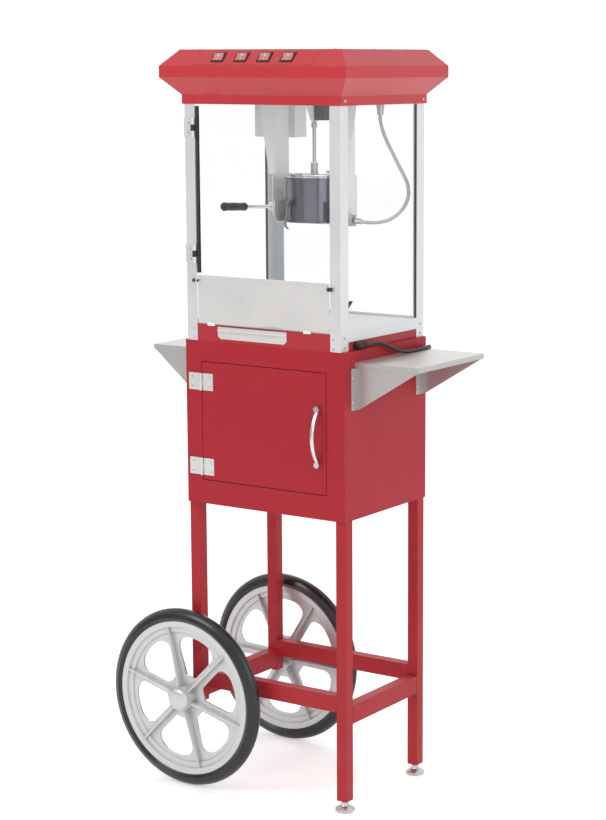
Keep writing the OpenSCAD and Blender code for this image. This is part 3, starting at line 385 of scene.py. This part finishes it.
NODE_MATS = {
    "frame_legs": "frame_red", "frame_bars": "frame_red", "levelling_foot_front": "nickel",
    "levelling_foot_rear": "nickel", "axle": "zinc", "axle_hardware": "zinc",
    "wheel_rim_front": "wheel_silver", "wheel_rim_rear": "wheel_silver",
    "wheel_cap_front": "wheel_silver", "wheel_cap_rear": "wheel_silver",
    "cabinet_shell": "cabinet_red", "cabinet_door": "cabinet_red",
    "cabinet_door_hinge_leaves": "hinge_zinc",
    "door_handle": "chrome", "magnet_catches": "white_plastic", "shelf_right": "stainless_flat",
    "shelf_left": "stainless_flat", "shelf_brackets": "stainless_flat", "machine_base": "base_red",
    "crumb_drawer": "stainless", "case_floor": "stainless_flat", "deck_heater": "dark_steel",
    "case_frame": "alloy", "pane_gaskets": "rubber",
    "glass_door_edge": "rubber", "glass_door_hinge_leaves": "black_plastic",
    "fixed_hinge_leaves": "hinge_zinc", "front_flap": "stainless", "flap_knobs": "black_plastic",
    "topper_shell": "topper_red", "ceiling_plate": "stainless_flat", "gear_motor": "dark_steel",
    "kettle_hangers": "hanger_alloy", "kettle_pot": "pot_steel", "kettle_bridge": "stainless_flat",
    "kettle_cradle": "bright_steel", "kettle_lid_front": "chrome", "kettle_lid_rear": "chrome",
    "kettle_lever": "chrome", "kettle_grip": "black_plastic", "drive_shaft": "zinc", "agitator": "zinc",
    "conduit_fittings": "zinc", "lamp_shroud": "stainless", "lamp_bulb": "lamp_glass",
    "switch_bezels": "bezel_plastic", "switch_light": "rocker", "switch_motor": "rocker",
    "switch_kettle": "rocker", "switch_warmer": "rocker", "cord_gland": "black_plastic",
    "power_plug": "black_plastic",
}
for name, key in NODE_MATS.items():
    NODES[name].data.materials.clear()
    NODES[name].data.materials.append(MATS[key])


def dress(ob, key, body, replaces=()):
    """Give a built piece its material, the body it moves with and the CAD nodes it stands for."""
    ob.data.materials.append(MATS[key])
    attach(ob, body)
    if replaces:
        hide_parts(*replaces)
    return ob


# ---------------------------------------------------------------- tyres
TYRE_HALF = [(172.6, 10.4), (174, 13.4), (177, 15.4), (179.6, 16.1), (180.3, 16.9), (182.6, 16.95),
             (183.4, 16.4), (187.5, 15.3), (191.5, 13.1), (194.6, 10.6), (196.7, 8.2), (198.3, 5.6),
             (199.4, 3.0), (200, 0)]
TYRE = TYRE_HALF + [(r, -w) for r, w in TYRE_HALF[-2::-1]]
TYRE += [(171, -9.2), (168.6, -6), (168.6, 6), (171, 9.2)]
AXLE_X, AXLE_Z, WHEEL_Y = -197.5, 200, 189
for side, y in (("front", -WHEEL_Y), ("rear", WHEEL_Y)):
    ob = lathe("tyre_" + side, TYRE, 160, Matrix.Rotation(math.radians(90), 4, "X"), 40)
    ob.location = p(AXLE_X, y, AXLE_Z)
    dress(ob, "tyre", "wheel_" + side, ["wheel_tyre_" + side])


# ---------------------------------------------------------------- panes, open on the side that touches metal
def pane(name, lo, hi, open_side):
    """A glass sheet as a box without the named side: 0 low x, 1 high x, 3 high y."""
    v = [p(x, y, z) for x in (lo[0], hi[0]) for y in (lo[1], hi[1]) for z in (lo[2], hi[2])]
    return mesh_object(name, v, BOX_FACES[:open_side] + BOX_FACES[open_side + 1:], 20)


PANE_Z0, PANE_Z1 = 1031.9, 1497
panes = [pane("left", (-197, -154, PANE_Z0), (-193, 152.4, PANE_Z1), 0),
         pane("right", (193, -154, PANE_Z0), (197, 152.4, PANE_Z1), 1),
         pane("back", (-192, 155.4, PANE_Z0), (192, 159.4, PANE_Z1), 3)]
dress(join("case_panes", panes), "glass", "cart", ["fixed_panes"])
door = pane("door_pane", (-171, -159.4, 1140), (171.5, -155.4, 1493.5), 3)
dress(door, "glass", "glass_door", ["glass_door"])

# ---------------------------------------------------------------- armoured lead
CONDUIT = [(117, 115, 1473), (117, 115, 1461), (123, 116, 1438), (134.5, 117, 1413), (147, 119, 1390),
           (158.5, 121, 1368), (168, 123, 1351), (175, 124, 1338), (180.5, 124.5, 1325), (183, 124, 1312),
           (184, 122, 1301), (183, 118, 1290), (179, 112, 1277), (173, 104, 1266), (164, 95, 1256),
           (154, 86, 1249.5), (143, 76, 1246), (132, 66, 1245), (121, 56, 1245.5), (111.5, 48, 1247.5)]
HOSE_R, RING_DEPTH, RING_PITCH = 0.00385, 0.00038, 0.0030


def hose_radius(i, run):
    """Radius of the wound hose, with one ring a pitch."""
    return HOSE_R + RING_DEPTH * math.cos(2 * math.pi * run / RING_PITCH)


hose = tube("conduit_hose", spline([p(*q) for q in CONDUIT], RING_PITCH / 5), hose_radius, 14)
dress(hose, "zinc", "cart", ["kettle_conduit"])

# ---------------------------------------------------------------- power cord
ROUTE = [(210, -78, 1003.6), (210, -70, 1003.6), (210, -62, 1003.6), (211, -45, 1003), (214, -25, 999.5),
         (218, -5, 991), (222, 15, 982.5), (225, 35, 976.8), (227, 55, 974.7), (227.5, 80, 974.25),
         (227, 105, 974.25), (226, 127, 974.4), (223.5, 142, 975.2), (219, 155, 973), (212, 166, 966.5),
         (201, 173.5, 957), (186, 176, 947), (160, 174, 932), (120, 170, 916), (75, 167, 905),
         (30, 165.5, 899.5), (-15, 165, 898.5), (-60, 165.5, 902), (-105, 168, 911), (-140, 171.5, 923),
         (-170, 175, 938), (-190, 176, 950), (-205, 172, 961), (-215, 163, 970), (-222, 151, 974.8),
         (-226.5, 142, 974.6), (-234, 133, 974.3), (-246, 126.6, 974.3)]
COIL_X, COIL_Y = -267, 84.6
COIL_R = 40.5                  # where the route meets the coil
INWARD, OUTWARD = 4.9, 8.0     # the steps to the inner and to the outer layer
ON_SHELF, LAYER = 974.3, 7.9   # height of the bottom layer, and of the next one above it
COIL_TURNS, TURN_STEPS = 3.25, 48


def ease(value, lo, hi):
    """0 below lo, 1 above hi, smooth between."""
    q = min(1, max(0, (value - lo) / (hi - lo)))
    return q * q * (3 - 2 * q)


def coil_point(turn):
    """Angle in turns from the north side: inner layer, up, outer layer, then down and out to the west."""
    a = math.radians(90 + 360 * turn)
    r = COIL_R - INWARD * ease(turn, -0.02, 0.16) + OUTWARD * ease(turn, 1.90, 2.06)
    z = ON_SHELF + LAYER * ease(turn, 0.84, 1.00) - LAYER * ease(turn, 3.03, 3.20)
    return (COIL_X + r * math.cos(a), COIL_Y + r * math.sin(a), z)


coil = [coil_point(t / TURN_STEPS) for t in range(2, int(TURN_STEPS * COIL_TURNS) + 1)]
end_x = coil[-1][0]
ROUTE += coil + [(end_x - 0.2, 76, ON_SHELF), (end_x - 0.3, 66, 974.8), (end_x - 0.3, 56, 975.4)]
cord_path = spline([p(*q) for q in ROUTE], 0.003)
CORD_D = 0.0075
flex = tube("power_flex", cord_path, CORD_D / 2, 16)
dress(flex, "cord", "cart", ["power_cord", "power_cord_coil"])

# ---------------------------------------------------------------- switch marks
SWITCHES = (("light", -90.3), ("motor", -31), ("kettle", 27.7), ("warmer", 86))
SLOPE = math.atan2(34, 32)     # tilt of the topper's front slope
ROCKED = math.radians(8)       # a rocker at rest is pressed on its lower half
DISH = math.atan2(1.6, 9)      # slope of each half of a rocker's face
SUNK, PROUD = -0.1, 0.18       # a mark's bottom and top from the rocker's face


def on_slope(x, angle):
    """The place of a switch on the topper's front slope, its rocker turned by angle about its pin."""
    return (Matrix.Translation(p(x, -181, 1594)) @ Matrix.Rotation(SLOPE, 4, "X")
            @ Matrix.Translation((0, 0, -0.002)) @ Matrix.Rotation(angle, 4, "X"))


def slab(name, lo, hi, place):
    """A plain box between two corners in mm, set in a place."""
    v = [Vector((x, y, z)) * MM for x in (lo[0], hi[0]) for y in (lo[1], hi[1]) for z in (lo[2], hi[2])]
    return mesh_object(name, [place @ q for q in v], BOX_FACES)


for name, x in SWITCHES:
    place = on_slope(x, ROCKED)
    low = place @ Matrix.Translation((0, -0.0045, 0.0058)) @ Matrix.Rotation(-DISH, 4, "X")
    high = place @ Matrix.Translation((0, 0.0045, 0.0058)) @ Matrix.Rotation(DISH, 4, "X")
    bar = slab("bar", (-0.6, -2.6, SUNK), (0.6, 2.6, PROUD), low)
    ring = lathe("ring", [(1.7, SUNK), (2.7, SUNK), (2.7, PROUD), (1.7, PROUD)], 32, high)
    dress(join("switch_mark_" + name, [bar, ring]), "mark", "rocker_" + name)

# ---------------------------------------------------------------- screws
DOOR_HINGE_Z = (700, 886)
DOOR_HINGE_UP = (8, 29)
HEADS = []                     # where, which way out, radius
for s in (-1, 1):
    # post feet on the front and the sides, shelf flanges, topper flange, kettle brackets
    HEADS += [((181 * s, -161.4, z), (0, -1, 0), 3.2) for z in (1000, 1020)]
    for z in (1003, 1023):
        HEADS += [((199 * s, t * 147.4, z), (s, 0, 0), 3.2) for t in (-1, 1)]
    for z in (888, 938):
        HEADS += [((207.7 * s, y, z), (s, 0, 0), 3.5) for y in (-128, 129)]
    HEADS += [((204.3 * s, t * 150, 1507), (s, 0, 0), 3.2) for t in (-1, 1)]
    HEADS += [((84 * s, 16, 1312), (-s, 0, 0), 3.0), ((84 * s, 30, 1303), (-s, 0, 0), 3.0)]
# cabinet hinges, glass door hinges, topper top
for z in DOOR_HINGE_Z:
    HEADS += [((-188, -161, z + up), (0, -1, 0), 2.6) for up in DOOR_HINGE_UP]
for z in (1161, 1428):
    for up in (9, 31):
        HEADS += [((-187, -162.9, z + up), (0, -1, 0), 2.8), ((-200.5, -148, z + up), (-1, 0, 0), 2.8)]
HEADS += [((x, -160, 1611), (0, 0, 1), 3.0) for x in (-156, 11, 186)]
HEADS += [((201, y, 1611), (0, 0, 1), 3.0) for y in (-38, 86)]


def screw_head(at, out, r, turn, h=1.55):
    """Pan head with a cross recess, on a fine polar grid."""
    z = Vector(out)
    x = z.cross(Vector((0, 1, 0) if z.z > 0.9 else (0, 0, 1))).normalized()
    place = (Matrix.Translation(p(*at)) @ Matrix((x, z.cross(x), z)).transposed().to_4x4()
             @ Matrix.Rotation(turn, 4, "Z"))
    rings, segs = 12, 40
    verts, faces = [Vector((0, 0, h - 0.95))], []
    for i in range(1, rings + 1):
        q = r * i / rings
        for j in range(segs):
            a = 2 * math.pi * j / segs
            u, v = q * math.cos(a), q * math.sin(a)
            top = h * math.sqrt(max(0, 1 - (q / (r * 1.04)) ** 4))
            slot = max(abs(u), abs(v)) < 0.62 * r and min(abs(u), abs(v)) < 0.14 * r
            verts.append(Vector((u, v, top - (0.85 if slot else 0))))
    for j in range(segs):
        a = 2 * math.pi * j / segs
        verts.append(Vector((r * math.cos(a), r * math.sin(a), 0)))
    for j in range(segs):
        k = (j + 1) % segs
        faces.append((0, 1 + j, 1 + k))
        for i in range(rings):
            near, far = 1 + i * segs, 1 + (i + 1) * segs
            faces.append((near + j, far + j, far + k, near + k))
    return mesh_object("head", [place @ (q * MM) for q in verts], faces)


heads = [screw_head(at, out, r, 0.7 * i) for i, (at, out, r) in enumerate(HEADS)]
dress(join("screw_heads", heads), "nickel", "cart", ["screws"])
heads = [screw_head((-142, -161, z + up), (0, -1, 0), 2.8, z + up, 1.8)
         for z in DOOR_HINGE_Z for up in DOOR_HINGE_UP]
dress(join("door_hinge_screws", heads), "nickel", "cabinet_door")

# ---------------------------------------------------------------- white cover round the drive shaft
cone = lathe("shaft_cover", [(4.5, -0.5), (8.0, -0.5), (18.5, 37.3), (9, 37.3)], 64,
             Matrix.Translation(p(0, 34, 1460)))
dress(cone, "white_plastic", "cart")

# ---------------------------------------------------------------- weld beads on the frame
LEG_X, LEG_Y, LEG_HALF = 192.9, 141.7, 12.5
BEAD_R, BEAD_STEPS = 1.5 * MM, 26
SINK, OFF = 0.4, 0.3           # a bead's centre lies this far inside the bar's face and off the leg's


def ripple(i, run):
    """Radius of a weld bead at its i-th ring."""
    return BEAD_R * (0.78 + 0.22 * math.sin(i * 1.9))


def bead(a, b):
    """A straight rippled weld from a to b."""
    return tube("bead", [p(*a).lerp(p(*b), t / BEAD_STEPS) for t in range(BEAD_STEPS + 1)], ripple, 8)


beads = []
for sx in (-1, 1):
    for sy in (-1, 1):
        x_in, y_in = sx * (LEG_X - LEG_HALF), sy * (LEG_Y - LEG_HALF)
        for y in (sy * (LEG_Y + LEG_HALF - SINK), y_in + sy * SINK):
            beads.append(bead((x_in - sx * OFF, y, 220.5), (x_in - sx * OFF, y, 254.5)))
        for x in (sx * (LEG_X + LEG_HALF - SINK), x_in + sx * SINK):
            beads.append(bead((x, y_in - sy * OFF, 193.5), (x, y_in - sy * OFF, 231.5)))
dress(join("frame_welds", beads), "frame_red", "cart")

# ---------------------------------------------------------------- floor, backdrop and lights
floor_mat = Nodes("floor")
tone = floor_mat.mix(floor_mat.ramp(floor_mat.noise(1.5, 3), 0.3, 0.7),
                     (0.86, 0.86, 0.86), (0.90, 0.90, 0.90))
glow = floor_mat.ramp(floor_mat.add("LightPath").outputs["Is Camera Ray"], 0, 1, 0.16, 0.44)
paper = floor_mat.add("BsdfPrincipled", {"Base Color": tone, "Roughness": 0.7, "Emission Color": tone,
                                         "Emission Strength": glow})
floor_mat.finish(paper.outputs[0])
HALF_FLOOR, WALL_TOP, BEND, BEND_STEPS = 14.0, 9.0, 3.0, 12
bend = [math.pi / 2 * i / BEND_STEPS for i in range(1, BEND_STEPS + 1)]
sweep = [(-HALF_FLOOR, 0.0), (HALF_FLOOR - BEND, 0.0)]
sweep += [(HALF_FLOOR - BEND + BEND * math.sin(a), BEND - BEND * math.cos(a)) for a in bend]
sweep += [(HALF_FLOOR, WALL_TOP)]
verts = [Vector((x, y, z)) for y, z in sweep for x in (-HALF_FLOOR, HALF_FLOOR)]
faces = [(2 * i, 2 * i + 1, 2 * i + 3, 2 * i + 2) for i in range(len(sweep) - 1)]
floor = mesh_object("floor", verts, faces)
floor.rotation_euler = (0, 0, math.radians(VIEW_TURN))
floor.data.materials.append(floor_mat.mat)

# white all round, a little brighter to the camera than as a light
world = bpy.data.worlds.new("studio")
bpy.context.scene.world = world
world.use_nodes = True
backdrop = world.node_tree.nodes["Background"]
backdrop.inputs["Color"].default_value = (1.0, 1.0, 1.0, 1)
rays = world.node_tree.nodes.new("ShaderNodeLightPath")
strength = world.node_tree.nodes.new("ShaderNodeMapRange")
strength.inputs["To Min"].default_value = 0.80
strength.inputs["To Max"].default_value = 1.0
world.node_tree.links.new(rays.outputs["Is Camera Ray"], strength.inputs["Value"])
world.node_tree.links.new(strength.outputs[0], backdrop.inputs["Strength"])


def area(name, at, target, size, power):
    """A square soft light aimed at a target."""
    d = bpy.data.lights.new(name, "AREA")
    d.energy = power
    d.size = size
    ob = bpy.data.objects.new(name, d)
    bpy.context.scene.collection.objects.link(ob)
    ob.location = at
    ob.rotation_euler = (Vector(target) - Vector(at)).to_track_quat("-Z", "Y").to_euler()


area("key", (-1.6, -3.2, 3.4), (0, 0, 0.9), 1.8, 38)
area("fill", (3.6, -1.6, 2.2), (0, 0, 0.9), 2.2, 20)
area("back", (-1.9, 2.8, 3.6), (0, 0, 1.1), 2.0, 30)

# grey card at the front left, seen only in reflections
CARD_ENDS, CARD_TOP = ((-4.6, -1.6), (-0.7, -4.9)), 2.5
(x0, y0), (x1, y1) = CARD_ENDS
corners = ((x0, y0, 0), (x1, y1, 0), (x1, y1, CARD_TOP), (x0, y0, CARD_TOP))
card = mesh_object("card", [Vector(v) for v in corners], [(0, 1, 2, 3)])
card_mat = Nodes("card")
grey = card_mat.mix(card_mat.ramp(card_mat.noise(2.0, 3), 0.3, 0.7), (0.40, 0.40, 0.40), (0.46, 0.46, 0.46))
card_mat.finish(card_mat.add("BsdfPrincipled", {"Base Color": grey, "Roughness": 0.8}).outputs[0])
card.data.materials.append(card_mat.mat)
card.visible_camera = False

view = bpy.context.scene.view_settings
view.view_transform = "Standard"
view.look = "None"
view.exposure = 0.0
